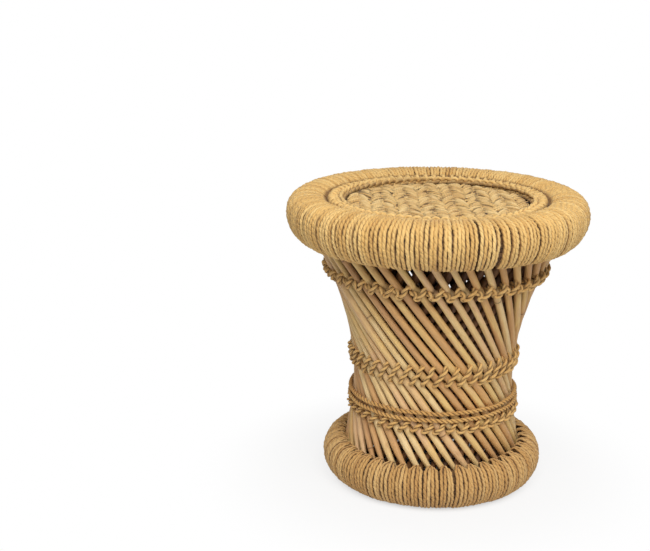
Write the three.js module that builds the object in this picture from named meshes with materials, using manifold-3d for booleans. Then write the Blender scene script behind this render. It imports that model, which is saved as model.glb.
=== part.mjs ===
// Mudda stool: a woven hourglass stool of two crossing layers of thin canes.
// The outer layer leans one way round the waist and the inner layer leans the other way.
// Rows of cord lash the layers together, and a wrapped ring closes each end.
// Millimetres, +Z up. The origin is the middle of the footprint, on the ground.

import * as THREE from 'three';
import Module from 'manifold-3d';
import { mergeVertices } from 'three/addons/utils/BufferGeometryUtils.js';

const wasm = await Module();
wasm.setup();

// Driving sizes of the whole stool
const stoolHeight = 350;
const waistHeight = 130;
const waistDrawIn = 14.5;
const standFlatDepth = 0.5;

// Canes
const caneCount = 44;
const caneDiameter = 8.4;
const caneSteps = 4;
const outerCaneSides = 6;
const innerCaneSides = 5;
const caneTopRise = 7;
const caneFootOutset = 5;
const caneFootDrop = 10;
const layerClearance = 0.5;
const hoopLashingRoom = 5.25;
const caneWrapShare = 1.3;

// Wrapped rings: radius is to the middle of the ring's thickness
const seatRingRadius = 149.5;
const seatRingHalfWidth = 25.5;
const seatRingHalfHeight = 29;
const seatRingShoulderRise = 5;
const baseRingRadius = 105;
const baseRingHalfWidth = 26;
const baseRingHalfHeight = 27;
const baseRingShoulderRise = 2.5;
const wrapThickness = 4.3;
const bundleGrooveDepth = 1.8;
const slotPinchDepth = 1.4;
const slotPinchReach = THREE.MathUtils.degToRad(100);
const ringsPerBundle = 2;

// Free space beside the canes where they pass through a ring's wrap
const slotInnerEase = 0.4;
const slotOuterEase = 2.4;
const solveRounds = 40;

// Hoops of bent cane that grip the cane ends inside the rings
const outerHoopRadius = 3.6;
const innerHoopRadius = 2.4;
const hoopSides = 5;
const hoopBite = 2.4;
const seatOuterHoopDrop = 17;
const seatInnerHoopRise = 4;
const baseOuterHoopRise = 7;
const baseInnerHoopRise = 4;

// Cords
const cordDiameter = 4.4;
const girdleCordDiameter = 5.6;
const cordSides = 5;
const topRowHeight = 259;
const topRowSwing = 4.5;
const waistRowHeight = 154;
const waistRowSwing = 8;
const lowRowHeight = 92;
const lowRowSwing = 3;
const upperGirdleHeight = 111;
const lowerGirdleHeight = 102.5;
const strokeHalfShare = 0.3;

// Woven seat
const rimWidth = 22;
const rimThickness = 15;
const rimSides = 8;
const rimDropFromTop = 12;
const matThickness = 8;
const matDropFromTop = 9;
const matSag = 4;
const matRoundSteps = 4;

// Clearance between pieces that touch on the real stool
const seatClearance = 0.35;
const facetClearance = 0.05;

// Worked out from the sizes above
const waistRadius = baseRingRadius - waistDrawIn;
const caneRadius = caneDiameter / 2;
const layerPitch = caneDiameter + layerClearance;
const cordRadius = cordDiameter / 2;
const girdleCordRadius = girdleCordDiameter / 2;
const seatRingHeight = stoolHeight - seatRingHalfHeight;
const baseRingHeight = baseRingHalfHeight - standFlatDepth;
const caneTopHeight = seatRingHeight + caneTopRise;
const caneFootHeight = baseRingHeight - caneFootDrop;
const caneFootRadius = baseRingRadius + caneFootOutset;
const caneTopRadius = outerTopRadius(
  seatRingRadius - seatRingHalfWidth + wrapThickness
  + 2 * innerHoopRadius + caneRadius + hoopLashingRoom,
);
const bayAngle = 2 * Math.PI / caneCount;
const upperFlare = flare(caneTopRadius, caneTopHeight);
const lowerFlare = flare(caneFootRadius, caneFootHeight);

// Finishes
const caneFinish = { color: 0xd3b27a, roughness: 0.55, metalness: 0 };
const hoopFinish = { color: 0xb08c55, roughness: 0.6, metalness: 0 };
const cordFinish = { color: 0xd2a868, roughness: 0.85, metalness: 0 };
const grassFinish = { color: 0xb9995c, roughness: 0.9, metalness: 0 };

// Radius of the outer canes' tops that puts the inner canes' tops where the inner hoop needs them.
// The layers stand further apart where they lean more, so it is worked out in a few rounds.
function outerTopRadius(innerTopRadius) {
  let radius = innerTopRadius;
  for (let i = 0; i < solveRounds; i += 1) {
    const lean = (radius ** 2 - waistRadius ** 2) / (caneTopHeight - waistHeight) / radius;
    radius = innerTopRadius + layerPitch * Math.hypot(1, lean);
  }
  return radius;
}

// How far a cane runs sideways for each unit of height on one side of the waist
function flare(endRadius, endHeight) {
  const sidewaysRun = Math.sqrt(endRadius ** 2 - waistRadius ** 2);
  return sidewaysRun / Math.abs(endHeight - waistHeight);
}

// Shape of the outer cane layer: a waisted surface swept by leaning canes
function sidewaysReach(height) {
  const slope = height > waistHeight ? upperFlare : lowerFlare;
  return slope * (height - waistHeight);
}

function outerLayerRadius(height) {
  return Math.hypot(waistRadius, sidewaysReach(height));
}

function outerLayerLean(height) {
  const slope = height > waistHeight ? upperFlare : lowerFlare;
  return slope * sidewaysReach(height) / outerLayerRadius(height);
}

// The inner layer is one cane thickness in, measured square to the sloping surface
function innerLayerRadius(height) {
  return outerLayerRadius(height) - layerPitch * Math.hypot(1, outerLayerLean(height));
}

class CaneCurve extends THREE.Curve {
  constructor(layerRadius, turn) {
    super();
    this.layerRadius = layerRadius;
    this.turn = turn;
  }

  getPoint(t, target = new THREE.Vector3()) {
    const height = THREE.MathUtils.lerp(caneFootHeight, caneTopHeight, t);
    const swing = caneWrapShare * Math.atan(sidewaysReach(height) / waistRadius);
    const azimuth = this.turn * swing;
    const radius = this.layerRadius(height);
    return target.set(radius * Math.cos(azimuth), radius * Math.sin(azimuth), height);
  }
}

const outerCaneCurve = new CaneCurve(outerLayerRadius, -1);
const innerCaneCurve = new CaneCurve(innerLayerRadius, 1);

// Where a faceted cane's middle line passes at a height
function caneAt(curve, height) {
  const stops = curve.getSpacedPoints(caneSteps);
  const above = stops.findIndex((stop) => stop.z >= height);
  const upper = above < 0 ? stops.length - 1 : Math.max(above, 1);
  const low = stops[upper - 1];
  const high = stops[upper];
  const point = low.clone().lerp(high, (height - low.z) / (high.z - low.z));
  return { radius: Math.hypot(point.x, point.y), azimuth: Math.atan2(point.y, point.x) };
}

// Distance to stand off a cane's middle line, widened where the layer slopes
function standOff(distance, height) {
  return distance * Math.hypot(1, outerLayerLean(height));
}

// A piece that goes right round the stool, lofted through sections that stand on the axis.
// A section is a list of [radius, height] corners, anticlockwise with the axis on its left.
function roundLoft(stations) {
  const corners = stations[0].section.length;
  const positions = [];
  for (const { azimuth, section } of stations) {
    for (const [radius, height] of section) {
      positions.push(radius * Math.cos(azimuth), radius * Math.sin(azimuth), height);
    }
  }
  const index = [];
  stations.forEach((station, i) => {
    const here = i * corners;
    const next = ((i + 1) % stations.length) * corners;
    for (let j = 0; j < corners; j += 1) {
      const k = (j + 1) % corners;
      index.push(here + j, next + j, next + k);
      index.push(here + j, next + k, here + k);
    }
  });
  const geometry = new THREE.BufferGeometry();
  geometry.setAttribute('position', new THREE.Float32BufferAttribute(positions, 3));
  geometry.setIndex(index);
  geometry.computeVertexNormals();
  return geometry;
}

// An even, round piece: the same section all the way round
function evenRound(section, stationCount = caneCount) {
  const stations = Array.from({ length: stationCount }, (unused, i) => (
    { azimuth: 2 * Math.PI * i / stationCount, section }
  ));
  return roundLoft(stations);
}

// Corners of a round or oval section, with a flat side towards the axis when the count is odd
function ovalSection(radius, height, halfWidth, halfHeight, sides) {
  return Array.from({ length: sides }, (unused, i) => {
    const angle = 2 * Math.PI * i / sides;
    return [radius + halfWidth * Math.cos(angle), height + halfHeight * Math.sin(angle)];
  });
}

function arcAngles(from, to, steps) {
  return Array.from({ length: steps + 1 }, (unused, i) => from + (to - from) * i / steps);
}

// Outer canes: one curved cane, turned round the axis once for each bay
function caneGeometry(curve, sides) {
  const section = new THREE.Shape(ovalSection(0, 0, caneRadius, caneRadius, sides)
    .map(([x, y]) => new THREE.Vector2(x, y)));
  return new THREE.ExtrudeGeometry(section, { steps: caneSteps, extrudePath: curve });
}

function addPiece(group, name, geometry, finish) {
  const piece = new THREE.Mesh(geometry, new THREE.MeshStandardMaterial(finish));
  piece.name = name;
  group.add(piece);
  return piece;
}

function buildOuterCanes(group) {
  const geometry = caneGeometry(outerCaneCurve, outerCaneSides);
  for (let i = 0; i < caneCount; i += 1) {
    const number = String(i + 1).padStart(2, '0');
    const cane = addPiece(group, `outer_cane_${number}`, geometry, caneFinish);
    cane.rotation.z = i * bayAngle;
  }
}

// Inner canes: they are bound to the hoop inside the base ring, so all are one piece with it
function toSolid(geometry) {
  const bare = geometry.clone();
  bare.deleteAttribute('normal');
  bare.deleteAttribute('uv');
  const merged = mergeVertices(bare);
  return new wasm.Manifold(new wasm.Mesh({
    numProp: 3,
    vertProperties: new Float32Array(merged.attributes.position.array),
    triVerts: new Uint32Array(merged.index.array),
  }));
}

function fromSolid(solid) {
  const mesh = solid.getMesh();
  const geometry = new THREE.BufferGeometry();
  geometry.setAttribute('position', new THREE.BufferAttribute(mesh.vertProperties, 3));
  geometry.setIndex(new THREE.BufferAttribute(mesh.triVerts, 1));
  geometry.computeVertexNormals();
  return geometry;
}

function buildInnerCanes(group) {
  const hoopHeight = baseRingHeight + baseInnerHoopRise;
  const reachIn = standOff(caneRadius + innerHoopRadius - hoopBite, hoopHeight);
  const hoopMiddle = caneAt(innerCaneCurve, hoopHeight).radius - reachIn;
  const hoop = ovalSection(hoopMiddle, hoopHeight, innerHoopRadius, innerHoopRadius, hoopSides);
  let solid = toSolid(evenRound(hoop));
  for (let i = 0; i < caneCount; i += 1) {
    const cane = caneGeometry(innerCaneCurve, innerCaneSides).rotateZ(i * bayAngle);
    solid = solid.add(toSolid(cane));
  }
  addPiece(group, 'inner_canes', fromSolid(solid), caneFinish);
}

// Hoops inside the rings, each against its own layer of canes
function buildHoops(group) {
  const seatOuterHeight = seatRingHeight - seatOuterHoopDrop;
  const outerReach = caneRadius + outerHoopRadius + seatClearance + facetClearance;
  const seatOuterMiddle = caneAt(outerCaneCurve, seatOuterHeight).radius
    + standOff(outerReach, seatOuterHeight);
  addPiece(group, 'seat_outer_hoop', evenRound(ovalSection(
    seatOuterMiddle, seatOuterHeight, outerHoopRadius, outerHoopRadius, hoopSides,
  )), hoopFinish);

  const seatInnerHeight = seatRingHeight + seatInnerHoopRise;
  const innerReach = caneRadius + innerHoopRadius + seatClearance;
  const seatInnerMiddle = caneAt(innerCaneCurve, seatInnerHeight).radius
    - standOff(innerReach, seatInnerHeight);
  addPiece(group, 'seat_inner_hoop', evenRound(ovalSection(
    seatInnerMiddle, seatInnerHeight, innerHoopRadius, innerHoopRadius, hoopSides,
  )), hoopFinish);

  const baseOuterHeight = baseRingHeight + baseOuterHoopRise;
  const baseOuterMiddle = caneAt(outerCaneCurve, baseOuterHeight).radius
    + standOff(outerReach, baseOuterHeight);
  addPiece(group, 'base_outer_hoop', evenRound(ovalSection(
    baseOuterMiddle, baseOuterHeight, outerHoopRadius, outerHoopRadius, hoopSides,
  )), hoopFinish);
}

// Wrapped rings: cord wound round a core of grass, drawn together where it passes the canes.
// Angles go round a ring's thickness, and 0 points outwards. A shoulder rise lifts the widest line.
function ringPoint(ring, angle, inset) {
  const radius = ring.radius + (ring.halfWidth - inset) * Math.cos(angle);
  const height = ring.height + (ring.halfHeight - inset) * Math.sin(angle)
    + ring.shoulderRise * Math.cos(angle) ** 2;
  return [radius, Math.max(height, 0)];
}

// Angle where the inside of a ring's wrap meets the inner or the outer face of the cane layers
function slotAngle(ring, outerSideAngle, curve, outwards, ease) {
  let inside = Math.PI;
  let outside = outerSideAngle;
  for (let i = 0; i < solveRounds; i += 1) {
    const middle = (inside + outside) / 2;
    const [radius, height] = ringPoint(ring, middle, wrapThickness);
    const face = caneAt(curve, height).radius + outwards * standOff(caneRadius + ease, height);
    if (radius < face) {
      inside = middle;
    } else {
      outside = middle;
    }
  }
  return inside;
}

function slotAngles(ring, outerSideAngle) {
  return [
    slotAngle(ring, outerSideAngle, innerCaneCurve, -1, slotInnerEase),
    slotAngle(ring, outerSideAngle, outerCaneCurve, 1, slotOuterEase),
  ];
}

const seatRingSize = {
  radius: seatRingRadius,
  height: seatRingHeight,
  halfWidth: seatRingHalfWidth,
  halfHeight: seatRingHalfHeight,
  shoulderRise: seatRingShoulderRise,
};
const [seatSlotStart, seatSlotEnd] = slotAngles(seatRingSize, 1.75 * Math.PI);
const seatRing = {
  ...seatRingSize,
  slotStart: seatSlotStart,
  slotEnd: seatSlotEnd,
  faceAngles: [
    ...arcAngles(seatSlotEnd, 2 * Math.PI, 2),
    ...arcAngles(2 * Math.PI, 3 * Math.PI, 4).slice(1),
    2 * Math.PI + seatSlotStart,
  ],
  wallAngles: [310, 365, 420, 480, 525, 545].map(THREE.MathUtils.degToRad),
  phase: caneAt(outerCaneCurve, seatRingHeight - seatRingHalfHeight).azimuth,
};

// Angle below the level where the base ring's outline comes down to the ground
const raisedHeight = baseRingHeight + baseRingShoulderRise;
const standReach = baseRingHalfHeight
  + Math.sqrt(baseRingHalfHeight ** 2 + 4 * baseRingShoulderRise * raisedHeight);
const standAngle = Math.asin(2 * raisedHeight / standReach);
const baseRingSize = {
  radius: baseRingRadius,
  height: baseRingHeight,
  halfWidth: baseRingHalfWidth,
  halfHeight: baseRingHalfHeight,
  shoulderRise: baseRingShoulderRise,
};
const [baseSlotEnd, baseSlotStart] = slotAngles(baseRingSize, 0.25 * Math.PI);
const baseRing = {
  ...baseRingSize,
  slotStart: baseSlotStart,
  slotEnd: baseSlotEnd,
  faceAngles: [
    baseSlotEnd,
    Math.PI,
    1.25 * Math.PI,
    Math.PI + standAngle,
    2 * Math.PI - standAngle,
    1.75 * Math.PI,
    2 * Math.PI,
    2.25 * Math.PI,
    2 * Math.PI + baseSlotStart,
  ],
  wallAngles: [190, 240, 300, 355, 400].map(THREE.MathUtils.degToRad),
  phase: caneAt(outerCaneCurve, baseRingHeight + baseRingHalfHeight).azimuth,
};

// Depth of the groove between two bundles of turns: deepest at the slot, none where the ring stands
function grooveAt(ring, angle) {
  const [, height] = ringPoint(ring, angle, 0);
  if (height < standFlatDepth / 2) {
    return 0;
  }
  const slotMiddle = (ring.slotStart + ring.slotEnd) / 2;
  const turn = Math.abs(angle - slotMiddle);
  const away = Math.min(turn, 2 * Math.PI - turn);
  return bundleGrooveDepth + slotPinchDepth * Math.max(0, 1 - away / slotPinchReach);
}

function wrapSection(ring, inGroove) {
  const face = ring.faceAngles.map((angle) => (
    ringPoint(ring, angle, inGroove ? grooveAt(ring, angle) : 0)
  ));
  const wallAngles = [ring.slotEnd, ...ring.wallAngles, 2 * Math.PI + ring.slotStart];
  const wall = wallAngles.reverse().map((angle) => ringPoint(ring, angle, wrapThickness));
  return [...face, ...wall];
}

function wrapGeometry(ring) {
  const stationCount = caneCount * ringsPerBundle;
  const stations = Array.from({ length: stationCount }, (unused, i) => ({
    azimuth: ring.phase + 2 * Math.PI * i / stationCount,
    section: wrapSection(ring, i % ringsPerBundle === 0),
  }));
  return roundLoft(stations);
}

// Grass core of each ring, as shares of the space inside the wrap
const seatCoreShares = [
  [0.92, 0], [0.48, 0.82], [-0.48, 0.82], [-0.72, 0.5], [0.44, 0.5], [0.73, -0.4],
];
const baseCoreShares = [
  [0.93, 0], [0.79, 0.45], [0.6, 0.45], [0.53, -0.592], [-0.65, -0.592], [-0.49, -0.83], [0.49, -0.83],
];

function coreGeometry(ring, shares) {
  return evenRound(shares.map(([across, up]) => [
    ring.radius + across * (ring.halfWidth - wrapThickness),
    ring.height + up * (ring.halfHeight - wrapThickness) + ring.shoulderRise * across ** 2,
  ]));
}

function buildRings(group) {
  addPiece(group, 'seat_ring_core', coreGeometry(seatRing, seatCoreShares), grassFinish);
  addPiece(group, 'seat_ring_wrap', wrapGeometry(seatRing), cordFinish);
  addPiece(group, 'base_ring_core', coreGeometry(baseRing, baseCoreShares), grassFinish);
  addPiece(group, 'base_ring_wrap', wrapGeometry(baseRing), cordFinish);
}

// A lashing row: one cord that climbs across each outer cane and drops between it and the next
function lashingGeometry(rowHeight, swing) {
  const caneAzimuth = caneAt(outerCaneCurve, rowHeight).azimuth;
  const halfStroke = strokeHalfShare * bayAngle;
  const stations = [];
  for (let i = 0; i < caneCount; i += 1) {
    for (const side of [-1, 1]) {
      const height = rowHeight + side * swing;
      const reach = standOff(caneRadius + cordRadius + seatClearance, height);
      const radius = caneAt(outerCaneCurve, height).radius + reach;
      const climb = swing / (halfStroke * radius);
      stations.push({
        azimuth: caneAzimuth + i * bayAngle + side * halfStroke,
        section: lashingSection(radius, height, cordRadius * Math.hypot(1, climb)),
      });
    }
  }
  return roundLoft(stations);
}

// The section's flat side lies along the sloping canes
function lashingSection(radius, height, halfHeight) {
  const lean = outerLayerLean(height);
  return ovalSection(0, 0, cordRadius, halfHeight, cordSides).map(([across, up]) => (
    [radius + across + lean * up, height + up]
  ));
}

function girdleGeometry(height) {
  const cane = caneAt(outerCaneCurve, height);
  const reach = caneRadius + girdleCordRadius + seatClearance + facetClearance;
  const radius = cane.radius + standOff(reach, height);
  return evenRound(ovalSection(radius, height, girdleCordRadius, girdleCordRadius, cordSides));
}

function buildCords(group) {
  addPiece(group, 'lashing_row_top', lashingGeometry(topRowHeight, topRowSwing), cordFinish);
  addPiece(group, 'lashing_row_waist', lashingGeometry(waistRowHeight, waistRowSwing), cordFinish);
  addPiece(group, 'lashing_row_low', lashingGeometry(lowRowHeight, lowRowSwing), cordFinish);
  addPiece(group, 'girdle_cord_upper', girdleGeometry(upperGirdleHeight), cordFinish);
  addPiece(group, 'girdle_cord_lower', girdleGeometry(lowerGirdleHeight), cordFinish);
}

// Woven seat: a flat round mat inside a plaited rim that meets the seat ring
function seatRingInnerRadius(height) {
  const low = ringPoint(seatRing, Math.PI, 0);
  const high = ringPoint(seatRing, 0.75 * Math.PI, 0);
  return THREE.MathUtils.mapLinear(height, low[1], high[1], low[0], high[0]);
}

const rimHeight = stoolHeight - rimDropFromTop;
const rimMiddle = seatRingInnerRadius(rimHeight) - seatClearance - rimWidth / 2;
const matRadius = rimMiddle - rimWidth / 2 - seatClearance - facetClearance;

function matGeometry() {
  const top = stoolHeight - matDropFromTop;
  const radii = arcAngles(0, matRadius, matRoundSteps);
  const sagAt = (radius) => matSag * (1 - (radius / matRadius) ** 2);
  const upperFace = radii.map((radius) => new THREE.Vector2(radius, top - sagAt(radius)));
  const lowerFace = radii.map((radius) => (
    new THREE.Vector2(radius, top - matThickness - sagAt(radius))
  ));
  const profile = [...lowerFace, ...upperFace.reverse()];
  return new THREE.LatheGeometry(profile, caneCount).rotateX(Math.PI / 2);
}

function buildSeat(group) {
  addPiece(group, 'seat_mat_rim', evenRound(
    ovalSection(rimMiddle, rimHeight, rimWidth / 2, rimThickness / 2, rimSides),
  ), cordFinish);
  addPiece(group, 'seat_mat', matGeometry(), cordFinish);
}

const stool = new THREE.Group();
buildOuterCanes(stool);
buildInnerCanes(stool);
buildHoops(stool);
buildRings(stool);
buildCords(stool);
buildSeat(stool);

export default stool;
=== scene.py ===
# %% [markdown]
# # A mudda stool, dressed over its frame
#
# A mudda is a waisted stool of thin canes and grass cord. Two layers of canes lean opposite ways
# round a narrow waist. Rows of cord lash them together, a thick ring bound with cord closes each
# end, and a twined mat fills the seat. The frame holds every piece at its real size and place, so
# this lesson only gives each piece its true surface.
#
# We start by loading the frame, whose box the dressed stool must not outgrow.

# %% Load the frame
import math
import random

import bpy
from mathutils import Matrix, Vector


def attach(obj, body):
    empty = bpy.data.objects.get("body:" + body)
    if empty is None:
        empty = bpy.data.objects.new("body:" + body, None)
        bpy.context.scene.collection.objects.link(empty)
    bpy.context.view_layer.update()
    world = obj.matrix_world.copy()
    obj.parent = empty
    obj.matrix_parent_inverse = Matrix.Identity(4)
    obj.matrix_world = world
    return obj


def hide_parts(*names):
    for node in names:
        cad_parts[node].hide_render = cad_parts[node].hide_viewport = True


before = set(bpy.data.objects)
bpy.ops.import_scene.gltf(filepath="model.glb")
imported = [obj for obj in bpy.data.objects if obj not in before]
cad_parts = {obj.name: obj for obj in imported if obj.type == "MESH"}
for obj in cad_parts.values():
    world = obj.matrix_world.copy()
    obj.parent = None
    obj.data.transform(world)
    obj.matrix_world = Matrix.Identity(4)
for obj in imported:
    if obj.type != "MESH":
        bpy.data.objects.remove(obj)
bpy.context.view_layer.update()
MM = 0.001
outer_cane_nodes = sorted(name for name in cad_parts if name.startswith("outer_cane_"))
cane_count = len(outer_cane_nodes)
bay_angle = 2 * math.pi / cane_count
print("canes in each layer:", cane_count)

# %% [markdown]
# ## Driving sizes
#
# The canes follow a simple rule. Each one is close to a straight stick that leans past the axis,
# and sticks that lean alike round an axis sweep a waisted shape. So the waist, the flare above it
# and the flare below it give the whole outline. A real cane is bent a little further round the axis
# than a straight stick would go, and the wrap share says how much. The sizes are the ones that the
# frame was built to.

# %% Sizes of the cane layers
waist_height = 130 * MM
waist_radius = 90.5 * MM
cane_top = 328 * MM
cane_top_radius = 152.5 * MM
cane_foot = 16.5 * MM
cane_foot_radius = 110 * MM
cane_radius = 4.2 * MM
layer_pitch = 8.9 * MM
wrap_share = 1.3

upper_flare = math.sqrt(cane_top_radius**2 - waist_radius**2) / (cane_top - waist_height)
lower_flare = math.sqrt(cane_foot_radius**2 - waist_radius**2) / (waist_height - cane_foot)


def sideways_reach(height):
    flare = upper_flare if height > waist_height else lower_flare
    return flare * (height - waist_height)


def outer_radius(height):
    return math.hypot(waist_radius, sideways_reach(height))


def layer_lean(height):
    flare = upper_flare if height > waist_height else lower_flare
    return flare * sideways_reach(height) / outer_radius(height)


def inner_radius(height):
    return outer_radius(height) - layer_pitch * math.hypot(1, layer_lean(height))


def cane_azimuth(height, turn):
    """How far round the axis a cane has come. Turn is -1 for the outer layer and 1 for the inner."""
    return turn * wrap_share * math.atan(sideways_reach(height) / waist_radius)


def stand_off(distance, height):
    """How much further from the axis a thing lies that is held off a layer by a distance."""
    return distance * math.hypot(1, layer_lean(height))


print("waist across: %.1f mm" % (2 * waist_radius / MM))

# %% [markdown]
# ## Camera
#
# The photograph looks slightly down on the stool from the front, with a long lens. The camera's
# place was worked out from the ovals of the two rings. The image is taken as 650 by 551.

# %% Camera
image_width = 650
focal_pixels = 1300
camera_place = Vector((-129.8, -1475.8, 654.8)) * MM
camera_pitch = 0.2701
camera_roll = 0.003

camera_data = bpy.data.cameras.new("camera")
camera_data.sensor_width = 36
camera_data.lens = camera_data.sensor_width * focal_pixels / image_width
camera = bpy.data.objects.new("camera", camera_data)
bpy.context.scene.collection.objects.link(camera)
camera.matrix_world = (
    Matrix.Translation(camera_place)
    @ Matrix.Rotation(math.pi / 2 - camera_pitch, 4, "X")
    @ Matrix.Rotation(camera_roll, 4, "Z")
)
bpy.context.scene.camera = camera
print("lens: %.1f mm" % camera_data.lens)

# %% [markdown]
# ## Writing nodes as sums
#
# Both the shapes and the finishes below are node trees. A node tree is a formula, so a small class
# lets us write it as one: adding two wires makes an Add node, and so on. One helper makes any
# other node and plugs its inputs.

# %% Wires
class Wire:
    """A value that runs through a node tree."""

    def __init__(self, tree, socket):
        self.tree = tree
        self.socket = socket

    def __add__(self, other):
        return calc(self.tree, "ADD", self, other)

    def __radd__(self, other):
        return calc(self.tree, "ADD", other, self)

    def __sub__(self, other):
        return calc(self.tree, "SUBTRACT", self, other)

    def __rsub__(self, other):
        return calc(self.tree, "SUBTRACT", other, self)

    def __mul__(self, other):
        return calc(self.tree, "MULTIPLY", self, other)

    def __truediv__(self, other):
        return calc(self.tree, "DIVIDE", self, other)

    def apply(self, operation, *others):
        return calc(self.tree, operation, self, *others)


def plug(tree, socket, value):
    if isinstance(value, Wire):
        tree.links.new(value.socket, socket)
    else:
        socket.default_value = value


def add_node(tree, kind, inputs=None, output=0, **settings):
    """Any node, with its settings made and its inputs plugged, by their names or their places."""
    node = tree.nodes.new(kind)
    for name, value in settings.items():
        setattr(node, name, value)
    for name, value in (inputs or {}).items():
        plug(tree, node.inputs[name], value)
    return Wire(tree, node.outputs[output])


def calc(tree, operation, *values):
    return add_node(tree, "ShaderNodeMath", dict(enumerate(values)), operation=operation)


print("wires can be added, taken away, multiplied and divided")

# %% Vectors and smooth steps


def vector(tree, x, y, z):
    return add_node(tree, "ShaderNodeCombineXYZ", {"X": x, "Y": y, "Z": z})


def parts(tree, value):
    """The three numbers of a vector, as three wires."""
    node = tree.nodes.new("ShaderNodeSeparateXYZ")
    plug(tree, node.inputs[0], value)
    return [Wire(tree, socket) for socket in node.outputs]


def vector_math(tree, operation, first, second=None, scale=None, output=0):
    inputs = {0: first}
    if second is not None:
        inputs[1] = second
    if scale is not None:
        inputs["Scale"] = scale
    return add_node(tree, "ShaderNodeVectorMath", inputs, output, operation=operation)


def smooth_step(tree, value, low, high):
    """Goes softly from 0 to 1 while the value goes from low to high."""
    return add_node(
        tree,
        "ShaderNodeMapRange",
        {"Value": value, "From Min": low, "From Max": high},
        interpolation_type="SMOOTHSTEP",
    )


print("helpers made for vectors and smooth steps")

# %% [markdown]
# ## Finishes
#
# A pattern of streaks or fibres has to follow its piece, so the shape trees below store what the
# finish needs on the mesh: how far along the piece a point lies, which way it faces round the
# section, and one random tone for each cane or turn. The helpers here read those numbers back,
# make noise from them and blend colours by it.

# %% Finish helpers


def paint(red, green, blue):
    """A colour as read off a paint swatch, 0 to 255, turned into the light values of the renderer."""
    light = []
    for value in (red, green, blue):
        share = value / 255
        # The screen's own curve: a straight line for near black, and a power above it.
        light.append(share / 12.92 if share <= 0.04045 else ((share + 0.055) / 1.055) ** 2.4)
    return (*light, 1.0)


def start_finish(name, roughness, sheen):
    finish = bpy.data.materials.new(name)
    finish.use_nodes = True
    shader = finish.node_tree.nodes["Principled BSDF"]
    shader.inputs["Roughness"].default_value = roughness
    shader.inputs["Sheen Weight"].default_value = sheen
    return finish, finish.node_tree, shader


def stored(tree, name, output="Fac"):
    return add_node(tree, "ShaderNodeAttribute", output=output, attribute_name=name)


def noise(tree, where, scale, detail):
    return add_node(tree, "ShaderNodeTexNoise", {"Vector": where, "Scale": scale, "Detail": detail})


def ramp(tree, value, *stops):
    """Blends between painted stops, each a place from 0 to 1 and a colour."""
    node = tree.nodes.new("ShaderNodeValToRGB")
    while len(node.color_ramp.elements) < len(stops):
        node.color_ramp.elements.new(1.0)
    for element, (place_on_ramp, colour) in zip(node.color_ramp.elements, stops):
        element.position = place_on_ramp
        element.color = colour
    plug(tree, node.inputs[0], value)
    return Wire(tree, node.outputs[0])


def blend_colour(tree, share, first, second):
    """A Mix node has a set of sockets for each kind of value. For colours they are 6, 7 and 2."""
    inputs = {"Factor": share, 6: first, 7: second}
    return add_node(tree, "ShaderNodeMix", inputs, output=2, data_type="RGBA")


def bump(tree, shader, height, depth, strength):
    inputs = {"Height": height, "Distance": depth, "Strength": strength}
    normal = add_node(tree, "ShaderNodeBump", inputs, output="Normal")
    plug(tree, shader.inputs["Normal"], normal)


print("middle grey as light: %.3f" % paint(128, 128, 128)[0])

# %% [markdown]
# ## Cane finish
#
# Dried cane has a waxy skin with fine lengthwise streaks, a slow drift from straw to pink and
# brown, and a dark ring at each joint of the stalk. Noise gives round spots, so its place is
# squeezed along the piece, and the spots turn into streaks. The stored tone moves the place far
# off, so that no two canes show the same spots. The lengths say how far each pattern runs along the
# cane, the edges say where in the noise it starts and is full, and the shares how strongly it shows.

# %% Cane finish
drift_length = 55 * MM
streak_length = 30 * MM
stain_length = 16 * MM
joint_band = 7 * MM
joint_line = (0.3 * MM, 1.1 * MM)
streak_edges = (0.48, 0.72)
stain_edges = (0.6, 0.78)
skin_edges = (0.25, 0.8)
skin_depth = 0.4 * MM
skin_strength = 0.7
streak_share = 0.42
stain_share = 0.35
joint_band_share = 0.3
joint_line_share = 0.7
notch_shade_share = 0.8


def cane_finish(name, tones, deep, dark):
    """Tones are the colours that one cane or another may have, from the palest to the brownest."""
    finish, tree, shader = start_finish(name, roughness=0.58, sheen=0.0)
    along = stored(tree, "along")
    side_x, side_y, _ = parts(tree, stored(tree, "side", "Vector"))
    tone = stored(tree, "tone")
    drift = noise(tree, vector(tree, side_x * 0.6, tone * 90, along / drift_length), 1.0, 3.0)
    steps = len(tones) - 1
    stops = [(i / steps, colour) for i, colour in enumerate(tones)]
    body = ramp(tree, tone * 0.8 + 0.1 + (drift - 0.5) * 0.9, *stops)
    streak_place = vector(tree, side_x * 5 + tone * 50, side_y * 5, along / streak_length)
    streaks = noise(tree, streak_place, 1.8, 6.0)
    streak = smooth_step(tree, streaks, *streak_edges) * streak_share
    body = blend_colour(tree, streak, body, deep)
    stain_place = vector(tree, side_x * 0.8 + tone * 30, side_y * 0.8, along / stain_length)
    stain = smooth_step(tree, noise(tree, stain_place, 1.0, 2.0), *stain_edges) * stain_share
    body = blend_colour(tree, stain, body, deep)
    off_joint = stored(tree, "joint").apply("ABSOLUTE")
    band = (1 - smooth_step(tree, off_joint, 0.0, joint_band)) * joint_band_share
    body = blend_colour(tree, band, body, deep)
    line = (1 - smooth_step(tree, off_joint, *joint_line)) * joint_line_share
    body = blend_colour(tree, line, body, dark)
    # Painted shadow: the cane is darkened where the top row's cord ties it in.
    body = blend_colour(tree, stored(tree, "notch") * notch_shade_share, body, dark)
    plug(tree, shader.inputs["Base Color"], body)
    bump(tree, shader, smooth_step(tree, streaks, *skin_edges), skin_depth, skin_strength)
    return finish


pattern_lengths = [round(length / MM) for length in (drift_length, streak_length, stain_length)]
print("lengths of the patterns along a cane, in mm:", pattern_lengths)

# %% [markdown]
# The outer canes range from pale straw over pink to light brown. The inner ones are seen only in
# the shade between them, so they get darker tones, and so do the hoops.

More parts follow.
